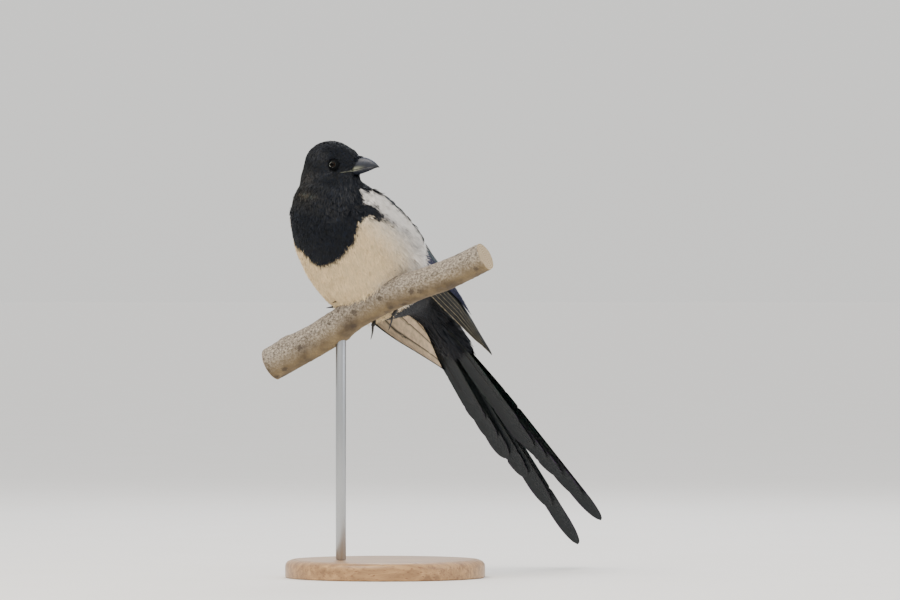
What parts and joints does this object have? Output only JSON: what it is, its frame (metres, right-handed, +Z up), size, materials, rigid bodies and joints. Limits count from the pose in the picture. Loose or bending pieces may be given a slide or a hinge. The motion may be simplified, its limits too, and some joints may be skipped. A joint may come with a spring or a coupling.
{
  "type": "eurasian magpie model",
  "caption": "Still life-size Eurasian magpie with its head turned, perched on a short cut length of branch, which a rod holds above a round flat base.",
  "frame": {"origin": "centre of the underside of the stand's round base", "axes": "+Z up; -Y is the side the bird's breast and left flank show to, as in the picture; +X to the right of that view, where the tail hangs"},
  "size_m": [0.2695, 0.2692, 0.3403],
  "materials": {
    "black_plumage": "glossy black contour feathers",
    "body_plumage": "black bib and mantle, cream-white flanks and belly",
    "white_plumage": "soft white contour feathers",
    "flight_feathers": "blue-glossed secondaries, black primaries with white inner webs",
    "tail_feathers": "long graduated tail feathers, slate black below, green-bronze gloss above",
    "bill_horn": "smooth dark grey horn",
    "claw_horn": "dark brown-black horn",
    "eye": "wet dark brown eye",
    "leg_scales": "black scaled skin",
    "bark": "grey-brown bark with lenticels and knots",
    "brushed_steel_rod": "brushed rod",
    "turned_wood": "satin lacquered turned wood"
  },
  "bodies": {
    "root": {"bill_lower": "bill_horn", "bill_upper": "bill_horn", "claw_hind_left": "claw_horn", "claw_hind_right": "claw_horn", "claw_inner_left": "claw_horn", "claw_inner_right": "claw_horn", "claw_middle_left": "claw_horn", "claw_middle_right": "claw_horn", "claw_outer_left": "claw_horn", "claw_outer_right": "claw_horn", "coverts_left": "black_plumage", "coverts_right": "black_plumage", "eye_left": "eye", "eye_right": "eye", "head": "black_plumage", "neck": "black_plumage", "perch": "bark", "primaries_left": "flight_feathers", "primaries_right": "flight_feathers", "scapulars_left": "white_plumage", "scapulars_right": "white_plumage", "secondaries_left": "flight_feathers", "secondaries_right": "flight_feathers", "stand_base": "turned_wood", "stand_rod": "brushed_steel_rod", "tail_feather_l1": "tail_feathers", "tail_feather_l2": "tail_feathers", "tail_feather_l3": "tail_feathers", "tail_feather_l4": "tail_feathers", "tail_feather_l5": "tail_feathers", "tail_feather_l6": "tail_feathers", "tail_feather_r1": "tail_feathers", "tail_feather_r2": "tail_feathers", "tail_feather_r3": "tail_feathers", "tail_feather_r4": "tail_feathers", "tail_feather_r5": "tail_feathers", "tail_feather_r6": "tail_feathers", "tarsus_left": "leg_scales", "tarsus_right": "leg_scales", "thigh_left": "white_plumage", "thigh_right": "white_plumage", "toe_hind_left": "leg_scales", "toe_hind_right": "leg_scales", "toe_inner_left": "leg_scales", "toe_inner_right": "leg_scales", "toe_middle_left": "leg_scales", "toe_middle_right": "leg_scales", "toe_outer_left": "leg_scales", "toe_outer_right": "leg_scales", "trunk": "body_plumage"}
  },
  "joints": []
}
